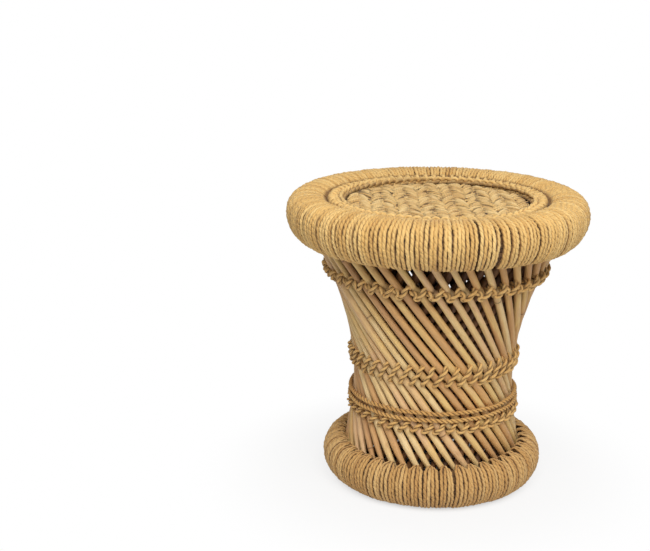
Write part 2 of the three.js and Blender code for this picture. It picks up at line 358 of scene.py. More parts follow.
# %% Tones of the canes
outer_tones = (
    paint(238, 210, 158),
    paint(228, 194, 132),
    paint(224, 182, 134),
    paint(230, 194, 124),
    paint(212, 164, 104),
    paint(196, 150, 100),
)
inner_tones = (paint(138, 96, 54), paint(110, 72, 36), paint(78, 48, 22))
outer_cane_finish = cane_finish("outer_cane", outer_tones, paint(176, 124, 72), paint(84, 48, 20))
inner_cane_finish = cane_finish("inner_cane", inner_tones, paint(98, 64, 34), paint(60, 34, 14))
hoop_finish = cane_finish("hoop_cane", inner_tones, paint(120, 82, 46), paint(60, 34, 14))
print("tones of the outer canes:", len(outer_tones))

# %% [markdown]
# ## Cord finish
#
# Grass cord is duller than cane. Two plies twist round each other, so a soft groove winds round the
# cord, with loose fibre lying along it. On a cord that is a plain tube the finish paints that groove
# dark as painted shade, from the twist that the shape tree stored, and paints shade on the flanks
# where the turns lie against each other. Where the plies are real shapes the groove is there
# already. Either way the stored shade is painted into the colour and darkens what lies deep among
# the cords.

# %% Cord finish
fibre_length = 7 * MM
cord_drift_length = 40 * MM
fibre_edges = (0.3, 0.75)
groove_edges = (0.05, 0.5)
groove_patches = (0.3, 0.7)
beside_edges = (0.5, 0.95)
swell_edges = (0.0, 0.75)
relief_depth = 0.8 * MM
relief_strength = 0.6
fibre_relief = 0.4
groove_share = 0.4
beside_share = 0.85
shade_share = 0.8


def off_seam(side_x, side_y, twist):
    """0 in the groove between a cord's two plies, and 1 on top of either ply."""
    return (side_x * twist.apply("COSINE") - side_y * twist.apply("SINE")).apply("ABSOLUTE")


def cord_finish(name, pale, warm, deep, dark, shows_plies):
    """Twisted grass cord. On a plain tube the finish draws the plies; on laid plies it doesn't."""
    finish, tree, shader = start_finish(name, roughness=0.8, sheen=0.1)
    along = stored(tree, "along")
    side_x, side_y, _ = parts(tree, stored(tree, "side", "Vector"))
    tone = stored(tree, "tone")
    twist = stored(tree, "twist")
    fibre_place = vector(tree, side_x * 2.2 + tone * 40, side_y * 2.2, along / fibre_length)
    fibres = noise(tree, fibre_place, 1.5, 5.0)
    drift = noise(tree, vector(tree, tone * 70, 0.0, along / cord_drift_length), 1.0, 3.0)
    body = ramp(
        tree,
        tone * 0.4 + drift * 0.7 + fibres * 0.4 - 0.3,
        (0.1, pale),
        (0.5, warm),
        (0.95, deep),
    )
    relief = smooth_step(tree, fibres, *fibre_edges) * fibre_relief
    if shows_plies:
        ply = off_seam(side_x, side_y, twist)
        patches = smooth_step(tree, drift, *groove_patches)
        # Painted shade in the groove between the two plies.
        groove = (1 - smooth_step(tree, ply, *groove_edges)) * patches
        body = blend_colour(tree, groove * groove_share, body, dark)
        # Painted shade on the flanks of a cord, where it lies against its neighbour.
        beside = smooth_step(tree, side_x.apply("ABSOLUTE"), *beside_edges)
        body = blend_colour(tree, beside * stored(tree, "loose") * beside_share, body, dark)
        relief = relief + smooth_step(tree, ply, *swell_edges)
    # The stored shade from the shape tree is painted shade as well.
    body = blend_colour(tree, stored(tree, "shade") * shade_share, body, dark)
    plug(tree, shader.inputs["Base Color"], body)
    bump(tree, shader, relief, relief_depth, relief_strength)
    return finish


print("a fibre runs %.0f mm along its cord" % (fibre_length / MM))

# %% [markdown]
# The mat's cord is the palest, and the base ring's is painted browner, as painted shade for the
# weaker light low down. The painted shade in the gaps is darkest where the cords of the mat and of
# the lashings lie close together, so these two have the deepest dark. The grass inside the rings is
# painted dark brown all over, partly its own colour and partly painted shade, since it shows only in
# the gaps between the turns.

# %% Colours of the cords
cord_dark = paint(104, 64, 24)
# Painted shade for the gaps among the mat's and the lashings' cords.
gap_dark = paint(58, 30, 10)
straw = (paint(244, 208, 138), paint(228, 184, 110), paint(192, 140, 70), cord_dark)
dusky_straw = (paint(232, 192, 124), paint(212, 164, 94), paint(170, 118, 58), gap_dark)
# Painted shade: the base ring's cord is darker than the seat ring's, for the weaker light low down.
base_shade_straw = (paint(222, 184, 122), paint(207, 162, 97), paint(174, 123, 62), cord_dark)
mat_straw = (paint(252, 218, 152), paint(236, 194, 122), paint(186, 132, 64), gap_dark)
# The grass's own brown, darkened further as painted shade, since grass and the mat's inner cords show
# only in gaps.
grass_and_shade_browns = (paint(128, 96, 52), paint(92, 62, 30), paint(54, 34, 16), paint(40, 24, 10))
ring_cord_finish = cord_finish("ring_cord", *straw, shows_plies=True)
base_cord_finish = cord_finish("base_ring_cord", *base_shade_straw, shows_plies=True)
mat_finish = cord_finish("mat_cord", *mat_straw, shows_plies=True)
lashing_finish = cord_finish("lashing_cord", *dusky_straw, shows_plies=False)
seat_cord_finish = cord_finish("seat_cord", *straw, shows_plies=False)
grass_finish = cord_finish("grass", *grass_and_shade_browns, shows_plies=False)
drawn = (ring_cord_finish, base_cord_finish, mat_finish)
print("finishes that draw the plies:", [finish.name for finish in drawn])

# %% [markdown]
# ## Guides
#
# A long thin piece is easiest to make from a guide: a chain of points down its middle. The guide
# is a bare mesh of edges, made by a formula in Python, and it can carry numbers at its points.

# %% Guides
waves_round = (3, 7, 11, 15)


def around(radius, azimuth, height):
    """A point given by its distance from the stool's axis, its angle round it and its height."""
    return (radius * math.cos(azimuth), radius * math.sin(azimuth), height)


def make_guide(name, lines, closed=False, columns=None):
    """A bare mesh of chained points. Columns are numbers stored at the points, by name."""
    mesh = bpy.data.meshes.new(name)
    points = []
    edges = []
    for line in lines:
        first = len(points)
        points += [tuple(point) for point in line]
        edges += [(first + i, first + i + 1) for i in range(len(line) - 1)]
        if closed:
            edges.append((first + len(line) - 1, first))
    mesh.from_pydata(points, edges, [])
    for column, values in (columns or {}).items():
        mesh.attributes.new(column, "FLOAT", "POINT").data.foreach_set("value", values)
    guide = bpy.data.objects.new(name, mesh)
    bpy.context.scene.collection.objects.link(guide)
    return guide


def circle_line(radius, height, steps, waver=0.0, seed=0):
    """A circle round the axis, whose height may waver by a few slow waves of random start."""
    dice = random.Random(seed)
    starts = [dice.uniform(0, 2 * math.pi) for _ in waves_round]
    line = []
    for i in range(steps):
        azimuth = 2 * math.pi * i / steps
        waves = [math.sin(azimuth * count + start) for count, start in zip(waves_round, starts)]
        line.append(around(radius, azimuth, height + waver * (sum(waves) / len(waves))))
    return line


print("a quarter of the way round:", [round(value, 3) for value in around(1, math.pi / 2, 0)])

# %% [markdown]
# ## Shape trees
#
# A Geometry Nodes tree repeats a guide, bends it and gives it a skin. That keeps the pattern in one
# place, and a size can be changed without touching the rest. Each tree starts with a named input
# for every size, and ends by making its copies real and giving them their finish.

# %% Start and end of a tree
SOCKET_KINDS = {int: "NodeSocketInt", float: "NodeSocketFloat", str: "NodeSocketMaterial"}


def start_tree(name, sizes):
    """A new shape tree, with a named input for each size. A size given as text is a finish."""
    tree = bpy.data.node_groups.new(name, "GeometryNodeTree")
    tree.interface.new_socket("Geometry", in_out="OUTPUT", socket_type="NodeSocketGeometry")
    tree.interface.new_socket("Geometry", in_out="INPUT", socket_type="NodeSocketGeometry")
    for label, value in sizes.items():
        kind = SOCKET_KINDS[type(value)]
        socket = tree.interface.new_socket(label, in_out="INPUT", socket_type=kind)
        if not isinstance(value, str):
            socket.default_value = value
    entry = tree.nodes.new("NodeGroupInput")
    ports = {socket.name: Wire(tree, socket) for socket in entry.outputs if socket.name}
    return tree, ports


def end_tree(tree, shape, finish):
    realized = add_node(tree, "GeometryNodeRealizeInstances", {"Geometry": shape})
    smooth = add_node(tree, "GeometryNodeSetShadeSmooth", {"Geometry": realized})
    painted = add_node(
        tree, "GeometryNodeSetMaterial", {"Geometry": smooth, "Material": finish}
    )
    leave = tree.nodes.new("NodeGroupOutput")
    tree.links.new(painted.socket, leave.inputs["Geometry"])
    print(tree.name, "nodes:", len(tree.nodes))


print("kinds of input:", len(SOCKET_KINDS))

# %% [markdown]
# Between its start and its end a tree works on curves. These helpers repeat a curve, throw seeded
# dice for each copy, store a number on it or read one back, and move it.

# %% Work on curves


def to_curve(tree, geometry):
    return add_node(tree, "GeometryNodeMeshToCurve", {"Mesh": geometry})


def along_spline(tree, output="Length"):
    return add_node(tree, "GeometryNodeSplineParameter", output=output)


def repeat(tree, curve, amount):
    """Copies a curve, and also gives the number of each copy."""
    node = tree.nodes.new("GeometryNodeDuplicateElements")
    node.domain = "SPLINE"
    plug(tree, node.inputs["Geometry"], curve)
    plug(tree, node.inputs["Amount"], amount)
    return Wire(tree, node.outputs[0]), Wire(tree, node.outputs[1])


def chance(tree, who, seed, low=-1.0, high=1.0):
    """A random number between two limits, the same for everything with the same number.

    The node has a set of sockets for each kind of value. For plain numbers they are 2, 3 and 1.
    """
    inputs = {2: low, 3: high, "ID": who, "Seed": seed}
    return add_node(tree, "FunctionNodeRandomValue", inputs, output=1, data_type="FLOAT")


def keep(tree, geometry, name, value, domain="POINT", kind="FLOAT"):
    return add_node(
        tree,
        "GeometryNodeStoreNamedAttribute",
        {"Geometry": geometry, "Name": name, "Value": value},
        data_type=kind,
        domain=domain,
    )


def recall(tree, name, kind="FLOAT"):
    return add_node(tree, "GeometryNodeInputNamedAttribute", {"Name": name}, data_type=kind)


def place(tree, geometry, position):
    return add_node(
        tree, "GeometryNodeSetPosition", {"Geometry": geometry, "Position": position}
    )


def shift(tree, geometry, offset):
    return add_node(tree, "GeometryNodeSetPosition", {"Geometry": geometry, "Offset": offset})


def turn_about_axis(tree, position, angle):
    return add_node(
        tree,
        "ShaderNodeVectorRotate",
        {"Vector": position, "Angle": angle},
        rotation_type="Z_AXIS",
    )


print("helpers made for curves")

# %% [markdown]
# A curve gets its skin from a circle that is swept along it. The circle carries the way each of its
# points faces, and the finish reads that. A cord that is one tube can also be swelled over its two
# plies, which pushes the skin out on two opposite sides that wind along with the twist.

# %% Skin and plies
mean_ply = 0.64


def skin(tree, curve, radius, sides):
    """A closed tube round each curve, with the way that each point faces stored as side."""
    ring = add_node(
        tree, "GeometryNodeCurvePrimitiveCircle", {"Resolution": sides, "Radius": 1.0}
    )
    facing = add_node(tree, "GeometryNodeInputPosition")
    ring = keep(tree, ring, "side", facing, kind="FLOAT_VECTOR")
    return add_node(
        tree,
        "GeometryNodeCurveToMesh",
        {"Curve": curve, "Profile Curve": ring, "Scale": radius, "Fill Caps": True},
    )


def raise_plies(tree, tube, depth):
    """Swells a tube over its two plies, and draws it in between them by as much."""
    side_x, side_y, _ = parts(tree, recall(tree, "side", kind="FLOAT_VECTOR"))
    swell = (off_seam(side_x, side_y, recall(tree, "twist")) - mean_ply) * depth
    facing = add_node(tree, "GeometryNodeInputNormal")
    return shift(tree, tube, vector_math(tree, "SCALE", facing, scale=swell))


print("swell of a ply over the mean: %.2f of the depth" % (1 - mean_ply))

# %% [markdown]
# The last two helpers run a tree and hang up the result. The tree's shape is turned into a plain
# mesh, and the guide goes with its modifier, so that nothing live is left.

# %% Growing and hanging a piece


def grow(name, guide, tree, sizes):
    """Runs a shape tree on a guide and returns the result as a plain mesh object."""
    modifier = guide.modifiers.new("shape", "NODES")
    modifier.node_group = tree
    for item in tree.interface.items_tree:
        if item.in_out == "INPUT" and item.name in sizes:
            modifier[item.identifier] = sizes[item.name]
    bpy.context.view_layer.update()
    depsgraph = bpy.context.evaluated_depsgraph_get()
    mesh = bpy.data.meshes.new_from_object(guide.evaluated_get(depsgraph))
    mesh.name = name
    piece = bpy.data.objects.new(name, mesh)
    bpy.context.scene.collection.objects.link(piece)
    bare = guide.data
    bpy.data.objects.remove(guide)
    bpy.data.meshes.remove(bare)
    return piece


def fit(piece, slot, *nodes):
    """Hangs a piece on the stool's one body, in place of the frame's solids if it names any."""
    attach(piece, "root")
    if nodes:
        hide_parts(*nodes)
    print(piece.name, "faces:", len(piece.data.polygons))


print("helpers made for growing and hanging a piece")

# %% [markdown]
# ## Canes
#
# All canes of a layer are alike but for chance: a cane is a little thick or thin, sits a little to
# one side, and has its joints where it grew them. So one guide is laid by the rule above, and the
# tree repeats it round the axis, nudges each copy and swells it at its joints.
#
# The top row of cord pulls on the outer canes. At the tie a cane is drawn in by a notch, painted dark
# as shadow, and above it the cane stands a little further out and a little to the side. One cane is
# broader than the rest in its upper part. The outer canes also get thinner where they go down into
# the base.

# %% Cane tree: sizes
tie_height = 262 * MM
tie_shift = 0.1

cane_tree, port = start_tree(
    "Leaning canes",
    {
        "Count": cane_count,
        "Radius": cane_radius,
        "Radius play": 0.1,
        "Sideways play": 0.06,
        "Taper": 0.08,
        "Joint spacing": 380 * MM,
        "Joint swell": 0.1,
        "Joint reach": 3 * MM,
        "Tie height": tie_height,
        "Tie play": 2.5 * MM,
        "Tie step": 1.4 * MM,
        "Tie shift": tie_shift,
        "Broad cane": -1,
        "Broad share": 0.4,
        "Broad from": 165 * MM,
        "Broad rise": 50 * MM,
        "Foot narrowing": 0.0,
        "Foot below": 68 * MM,
        "Foot rise": 20 * MM,
        "Sides": 8,
        "Seed": 1,
        "Finish": "cane",
    },
)
print("inputs of the cane tree:", len(port))

# %% [markdown]
# Each copy of the guide gets a number, and with it its own luck: how far its foot and its top stray
# to the side, its tone, and where its first joint falls.

# %% Cane tree: luck and joints
canes, cane_number = repeat(cane_tree, to_curve(cane_tree, port["Geometry"]), port["Count"])
how_far = along_spline(cane_tree)
share_up = along_spline(cane_tree, "Factor")
foot_play = chance(cane_tree, cane_number, port["Seed"])
top_play = chance(cane_tree, cane_number, port["Seed"] + 1)
bay = calc(cane_tree, "DIVIDE", 2 * math.pi, port["Count"])
play = (foot_play + (top_play - foot_play) * share_up) * port["Sideways play"]
canes = keep(cane_tree, canes, "tone", chance(cane_tree, cane_number, port["Seed"] + 2, 0.0, 1.0))
canes = keep(cane_tree, canes, "along", how_far)
first_joint = chance(cane_tree, cane_number, port["Seed"] + 3, 0.0, 1.0)
joint_phase = (how_far / port["Joint spacing"] + first_joint).apply("FRACT")
from_joint = (joint_phase - 0.5) * port["Joint spacing"]
canes = keep(cane_tree, canes, "joint", from_joint)
print("nodes so far:", len(cane_tree.nodes))

# %% [markdown]
# Now the tie. Above it a cane steps outwards and a little to the side, and right at it the cane has
# its notch. Then each cane is turned to its own place round the axis.

# %% Cane tree: the tie, and the place round the axis
tie_blend = 1.2 * MM
notch_reach = 1.6 * MM

where = add_node(cane_tree, "GeometryNodeInputPosition")
away_x, away_y, level = parts(cane_tree, where)
tie_play = chance(cane_tree, cane_number, port["Seed"] + 5) * port["Tie play"]
above_tie = level - port["Tie height"] - tie_play
stands_out = smooth_step(cane_tree, above_tie, -tie_blend, tie_blend)
drawn_in = (above_tie / notch_reach).apply("POWER", 2.0) * -1
# The notch also darkens the cane in its finish, as painted shadow at the tie.
canes = keep(cane_tree, canes, "notch", drawn_in.apply("EXPONENT"))
step_out = stands_out * port["Tie step"] / outer_radius(tie_height)
outward = vector(cane_tree, away_x * step_out, away_y * step_out, 0.0)
canes = shift(cane_tree, canes, outward)
where = add_node(cane_tree, "GeometryNodeInputPosition")
bays_round = cane_number + play - stands_out * port["Tie shift"]
canes = place(cane_tree, canes, turn_about_axis(cane_tree, where, bays_round * bay))
print("nodes so far:", len(cane_tree.nodes))

# %% [markdown]
# The thickness comes last: each cane has its own, swells at its joints and tapers along its length,
# and the notch, the one broad cane and the narrowed feet are worked in.

# %% Cane tree: how thick each cane is
notch_depth = 0.22

size_play = chance(cane_tree, cane_number, port["Seed"] + 4) * port["Radius play"]
near_joint = (recall(cane_tree, "joint") / port["Joint reach"]).apply("POWER", 2.0)
swell = (near_joint * -1).apply("EXPONENT") * port["Joint swell"]
taper = (along_spline(cane_tree, "Factor") - 0.5) * port["Taper"]
notch = recall(cane_tree, "notch") * notch_depth
broad = calc(cane_tree, "COMPARE", cane_number, port["Broad cane"], 0.5) * port["Broad share"]
broad_full = port["Broad from"] + port["Broad rise"]
broad = broad * smooth_step(cane_tree, level, port["Broad from"], broad_full)
broad = broad * (1 - stands_out)
foot_full = port["Foot below"] - port["Foot rise"]
foot = 1 - smooth_step(cane_tree, level, foot_full, port["Foot below"])
shape = 1 + size_play + swell - taper - notch + broad - foot * port["Foot narrowing"]
end_tree(
    cane_tree, skin(cane_tree, canes, port["Radius"] * shape, port["Sides"]), port["Finish"]
)

# %% [markdown]
# Both layers are grown from this tree. The inner canes are a little thicker, the more so towards
# the top, lean the other way, and aren't drawn in by a tie, so their tie height is put far above
# the stool.

# %% Both layers of canes
cane_steps = 110
inner_cane_radius = 4.6 * MM
no_tie = 1.0


def cane_line(layer_radius, turn):
    line = []
    for i in range(cane_steps + 1):
        height = cane_foot + (cane_top - cane_foot) * i / cane_steps
        line.append(around(layer_radius(height), cane_azimuth(height, turn), height))
    return line


outer_canes = grow(
    "outer_canes",
    make_guide("outer_cane_guide", [cane_line(outer_radius, -1)]),
    cane_tree,
    {
        "Broad cane": 31,
        "Foot narrowing": 0.24,
        "Finish": outer_cane_finish,
    },
)
fit(outer_canes, "outer_cane", *outer_cane_nodes)
inner_canes = grow(
    "inner_canes_round",
    make_guide("inner_cane_guide", [cane_line(inner_radius, 1)]),
    cane_tree,
    {
        "Radius": inner_cane_radius,
        "Taper": -0.3,
        "Tie height": no_tie,
        "Tie shift": 0.0,
        "Seed": 340,
        "Finish": inner_cane_finish,
    },
)
fit(inner_canes, "inner_cane", "inner_canes")

# %% [markdown]
# ## Cord bound round the rings
#
# Each ring is a roll of grass, bound with cord. The turns lie in bundles, one bundle for each space
# between two canes. Where the canes enter the ring, a bundle has to squeeze through between two of
# them, and past that it fans out until it meets its neighbours. A guide runs once round the ring's
# thickness, and stores how wide the bundle may spread there. The tree does the rest.
#
# A few bundles of the seat ring don't quite meet, so the tree can leave up to four bays open. The
# turns are also shaded where they go down beside the seat, as little light gets there.

# %% Ring tree: sizes
open_bay_labels = ("First open bay", "Second open bay", "Third open bay", "Fourth open bay")

ring_tree, port = start_tree(
    "Bundles of turns",
    {
        "Bays": cane_count,
        "Turns": 5,
        "Phase": 0.0,
        "Cord radius": 2.6 * MM,
        "Gap": 0.0,
        "Wide gap": 0.05,
        **{label: -1 for label in open_bay_labels},
        "Opening": 0.11,
        "Close on top": 0.0,
        "Dark inward of": 2.0,
        "Slant": 0.5,
        "Wander": 0.1,
        "Quick wander": 0.06,
        "Lift": 0.45 * MM,
        "Stack": 1.6 * MM,
        "Lay": 12.5 * MM,
        "Lay play": 0.12,
        "Ply depth": 0.8 * MM,
        "Sides": 6,
        "Seed": 1,
        "Finish": "cord",
    },
)
print("inputs of the ring tree:", len(port))

# %% [markdown]
# A turn's number gives its bay, and its place in the bundle there. The guide says how far the bundle
# may spread at each point, and a wide gap or an opened bay takes a share of that.

# %% Ring tree: bays and bundles
gap_rarity = 9.0

turns, turn_number = repeat(
    ring_tree, to_curve(ring_tree, port["Geometry"]), port["Bays"] * port["Turns"]
)
bay_number = (turn_number / port["Turns"]).apply("FLOOR")
place_in_bay = (turn_number - bay_number * port["Turns"] + 0.5) / port["Turns"] - 0.5
rare = chance(ring_tree, bay_number, port["Seed"], 0.0, 1.0).apply("POWER", gap_rarity)
gap = port["Gap"] + rare * port["Wide gap"]
opened = 0.0
for label in open_bay_labels:
    opened = opened + calc(ring_tree, "COMPARE", bay_number, port[label], 0.5)
opening = opened * port["Opening"]
spread = recall(ring_tree, "spread") * (1 - gap - opening)
print("nodes so far:", len(ring_tree.nodes))

# %% [markdown]
# Cord bound by hand doesn't lie straight. Whole bundles slant, single turns slant and wander, and
# all of it grows with the room that a turn has. A random start, up to a little more than one full
# turn, keeps the waves of two neighbours apart.

# %% Ring tree: slant and wander
slow_waves = 9
quick_waves = 47
any_phase = 6.3
own_slant = 0.5

round_share = along_spline(ring_tree, "Factor")
turn_slant = chance(ring_tree, turn_number, port["Seed"] + 1) * own_slant
bay_slant = chance(ring_tree, bay_number, port["Seed"] + 2)
slant = (turn_slant + bay_slant) * (round_share - 0.5) * port["Slant"]
wave_start = chance(ring_tree, turn_number, port["Seed"] + 3, 0.0, any_phase)
slow_wave = (round_share * slow_waves + wave_start).apply("SINE") * port["Wander"]
quick_wave = (round_share * quick_waves + wave_start * 3).apply("SINE") * port["Quick wander"]
wander = slow_wave + quick_wave
sideways = place_in_bay * spread + (slant + wander) * spread / port["Turns"]
sideways = sideways - opening * recall(ring_tree, "spread") * 0.5
bay = calc(ring_tree, "DIVIDE", 2 * math.pi, port["Bays"])
azimuth = port["Phase"] + (bay_number + 0.5 + sideways) * bay
print("nodes so far:", len(ring_tree.nodes))

# %% [markdown]
# The cord is as thick as its bundle leaves room for, within limits. Each turn has its own tone and
# its own twist. Where the bundle squeezes through between two canes, every other turn lies deeper.

# %% Ring tree: the cord itself
cord_crowding = 0.54
least_girth = 0.66
top_from = 0.4
top_full = 0.85
inward_blend = 0.12

from_axis = parts(ring_tree, add_node(ring_tree, "GeometryNodeInputPosition"))[0]
room = from_axis * bay * spread / port["Turns"] * cord_crowding
least = port["Cord radius"] * least_girth
girth = room.apply("MINIMUM", port["Cord radius"]).apply("MAXIMUM", least)
turns = keep(ring_tree, turns, "girth", girth)
# Loose sets the painted shade on the flanks of each turn. On top, where the turns lie close, less is
# painted.
on_top = smooth_step(ring_tree, recall(ring_tree, "out_up"), top_from, top_full)
turns = keep(ring_tree, turns, "loose", 1 - on_top * port["Close on top"])
inward = recall(ring_tree, "out_across") * -1 - port["Dark inward of"]
turns = keep(ring_tree, turns, "shade", smooth_step(ring_tree, inward, 0.0, inward_blend))
turn_tone = chance(ring_tree, turn_number, port["Seed"] + 4, 0.0, 1.0)
turns = keep(ring_tree, turns, "tone", turn_tone)
turns = keep(ring_tree, turns, "along", along_spline(ring_tree))
lay_play = 1 + chance(ring_tree, turn_number, port["Seed"] + 6) * port["Lay play"]
twist = along_spline(ring_tree) * (2 * math.pi) / (port["Lay"] * lay_play) + wave_start
turns = keep(ring_tree, turns, "twist", twist)
lift = chance(ring_tree, turn_number, port["Seed"] + 5) * port["Lift"]
every_other = (turn_number.apply("MODULO", 2.0)) * port["Stack"]
lift = lift - every_other * (1 - recall(ring_tree, "spread")) * 2
out = vector(
    ring_tree, recall(ring_tree, "out_across") * lift, 0.0, recall(ring_tree, "out_up") * lift
)
turns = shift(ring_tree, turns, out)
where = add_node(ring_tree, "GeometryNodeInputPosition")
turns = place(ring_tree, turns, turn_about_axis(ring_tree, where, azimuth))
tubes = skin(ring_tree, turns, recall(ring_tree, "girth"), port["Sides"])
end_tree(ring_tree, raise_plies(ring_tree, tubes, port["Ply depth"]), port["Finish"])

# %% [markdown]
# The guide starts at one edge of the slot where the canes enter, tucked in a little, runs right round
# the roll, and ends at the slot's other edge. Its section is an oval that sits higher at its shoulders.

# %% Guide round a ring's thickness
floor_clearance = 0.3 * MM


def ring_guide(name, ring, cord_radius):
    """Points round the ring's thickness, from one edge of the canes' slot round to the other."""
    steps = ring["steps"]
    start, end = ring["wound"]
    half_width = ring["half_width"] - cord_radius
    half_height = ring["half_height"] - cord_radius
    lowest = cord_radius + floor_clearance
    line = []
    columns = {"spread": [], "out_across": [], "out_up": []}
    for i in range(steps + 1):
        angle = start + (end - start) * i / steps
        from_end = min(i, steps - i) / steps * (end - start) * half_width
        tucked = ring["tuck"] * max(0, 1 - from_end / ring["tuck_reach"]) ** 2
        across = math.cos(angle)
        up = math.sin(angle)
        shoulder = ring["shoulder_rise"] * across**2
        height = ring["height"] + (half_height - tucked) * up + shoulder
        line.append((ring["radius"] + (half_width - tucked) * across, 0, max(height, lowest)))
        share = min(1, from_end / ring["fan_length"])
        fan = share * share * (3 - 2 * share)
        columns["spread"].append(ring["pinch"] + (1 - ring["pinch"]) * fan)
        columns["out_across"].append(across)
        columns["out_up"].append(up)
    return make_guide(name, [line], columns=columns)


seat_ring = {
    "radius": 149.5 * MM,
    "height": 320 * MM,
    "half_width": 25.5 * MM,
    "half_height": 28.4 * MM,
    "shoulder_rise": 5 * MM,
    "wound": (math.radians(254), math.radians(562)),
    "tuck": 7 * MM,
    "tuck_reach": 7 * MM,
    "fan_length": 20 * MM,
    "pinch": 0.55,
    "steps": 66,
}
base_ring = {
    "radius": 105 * MM,
    "height": 26.5 * MM,
    "half_width": 26 * MM,
    "half_height": 27 * MM,
    "shoulder_rise": 2.5 * MM,
    "wound": (math.radians(148), math.radians(455)),
    "tuck": 6 * MM,
    "tuck_reach": 7 * MM,
    "fan_length": 17 * MM,
    "pinch": 0.24,
    "steps": 62,
}
for title, ring in (("seat", seat_ring), ("base", base_ring)):
    print(title, "ring is wound over %.0f degrees" % math.degrees(ring["wound"][1] - ring["wound"][0]))

# %% [markdown]
# The middle of each bundle lies half way between two canes. So the place of the bundles is read off
# the rule for the canes, at the height where these enter the ring. At the seat the canes have stepped
# aside by the tie's shift, and the bundles follow.

# %% Both ring bindings
ring_cord_radius = 2.6 * MM
seat_entry_height = 292 * MM
base_entry_height = 53.5 * MM

seat_wrap = grow(
    "seat_ring_turns",
    ring_guide("seat_ring_guide", seat_ring, ring_cord_radius),
    ring_tree,
    {
        "Phase": cane_azimuth(seat_entry_height, -1) - tie_shift * bay_angle,
        "First open bay": 32,
        "Second open bay": 41,
        "Third open bay": 42,
        "Fourth open bay": 0,
        "Close on top": 0.75,
        "Dark inward of": 0.68,
        "Finish": ring_cord_finish,
    },
)
fit(seat_wrap, "ring_cord", "seat_ring_wrap")
base_wrap = grow(
    "base_ring_turns",
    ring_guide("base_ring_guide", base_ring, ring_cord_radius),
    ring_tree,
    {
        "Turns": 4,
        "Phase": cane_azimuth(base_entry_height, -1),
        "Cord radius": 2.4 * MM,
        "Wide gap": 0.12,
        "Slant": 0.6,
        "Seed": 60,
        "Finish": base_cord_finish,
    },
)
fit(base_wrap, "ring_cord", "base_ring_wrap")

# %% [markdown]
# ## Grass inside the rings
#
# Between the turns one can just see what they are bound round: a roll of dry grass. It is a bunch
# of long strands that run round the ring. Each strand wavers in its own way, so the guides are drawn
# one by one with seeded chance, and a small tree only gives them their skin.

# %% Grass tree
grass_tree, port = start_tree(
    "Grass strands",
    {"Radius": 3.2 * MM, "Sides": 6, "Seed": 1, "Finish": "grass"},
)
strands = to_curve(grass_tree, port["Geometry"])
strand_number = add_node(grass_tree, "GeometryNodeInputIndex")
strand_tone = chance(grass_tree, strand_number, port["Seed"], 0.0, 1.0)
strands = keep(grass_tree, strands, "tone", strand_tone, domain="CURVE")
strands = keep(grass_tree, strands, "along", along_spline(grass_tree))
end_tree(grass_tree, skin(grass_tree, strands, port["Radius"], port["Sides"]), port["Finish"])

# %% Grass strands
grass_seed = 17
grass_steps = 120
grass_waver = 0.02
grass_paces = (5, 9)
grass_depth = 0.72


def grass_lines(ring, places):
    """Rings of grass at places given as shares of the ring's half width and half height."""
    dice = random.Random(grass_seed)
    lines = []
    for across, up in places:
        pace = dice.randint(*grass_paces)
        start = dice.uniform(0, 2 * math.pi)
        line = []
        for i in range(grass_steps):
            azimuth = 2 * math.pi * i / grass_steps
            waver = grass_waver * math.sin(pace * azimuth + start)
            radius = ring["radius"] + ring["half_width"] * (across + waver)
            height = ring["height"] + ring["half_height"] * (up - waver)
            height += ring["shoulder_rise"] * across**2
            line.append(around(radius, azimuth, height))
        lines.append(line)
    return lines


def round_places(start, end, count):
    """Places on an oval inside the wrap, from one angle round the thickness to another."""
    places = []
    for i in range(count):
        angle = math.radians(start + (end - start) * i / (count - 1))
        places.append((grass_depth * math.cos(angle), grass_depth * math.sin(angle)))
    return places


for ring_name, ring, start, end, count in (
    ("seat", seat_ring, 275, 530, 22),
    ("base", base_ring, 200, 425, 20),
):
    lines = grass_lines(ring, round_places(start, end, count))
    grass = grow(
        ring_name + "_ring_grass",
        make_guide(ring_name + "_grass_guide", lines, closed=True),
        grass_tree,
        {"Finish": grass_finish},
    )
    fit(grass, "grass", ring_name + "_ring_core")

# %% [markdown]
# ## Hoops
#
# A hoop is a long cane, bent round while it is green and tied into a ring. Three of them grip the
# cane ends inside the rings. The cane tree makes them too, with a circle for its guide and a count
# of one.

# %% Hoops
outer_hoop = 3.6 * MM
inner_hoop = 2.4 * MM
hoop_gap = 0.4 * MM
hoop_steps = 120

for hoop_name, layer_radius, side, hoop_height, hoop_radius in (
    ("seat_outer_hoop", outer_radius, 1, 304 * MM, outer_hoop),
    ("seat_inner_hoop", inner_radius, -1, 325 * MM, inner_hoop),
    ("base_outer_hoop", outer_radius, 1, 33.5 * MM, outer_hoop),
):
    reach = stand_off(cane_radius + hoop_radius + hoop_gap, hoop_height)
    hoop_line = circle_line(layer_radius(hoop_height) + side * reach, hoop_height, hoop_steps)
    hoop = grow(
        hoop_name + "_cane",
        make_guide(hoop_name + "_guide", [hoop_line], closed=True),
        cane_tree,
        {
            "Count": 1,
            "Radius": hoop_radius,
            "Taper": 0.0,
            "Tie height": no_tie,
            "Finish": hoop_finish,
        },
    )
    fit(hoop, "hoop_cane", hoop_name)

# %% [markdown]
# ## Twisted cord
#
# Lashing cord is two plies laid round each other. From close by one sees the plies themselves, so
# here they are real shapes: the tree smooths the guide, makes two copies of it, swings them round
# the middle line on opposite sides, and gives each a skin. A cord made so catches the light on
# every crossing, as twisted grass does.

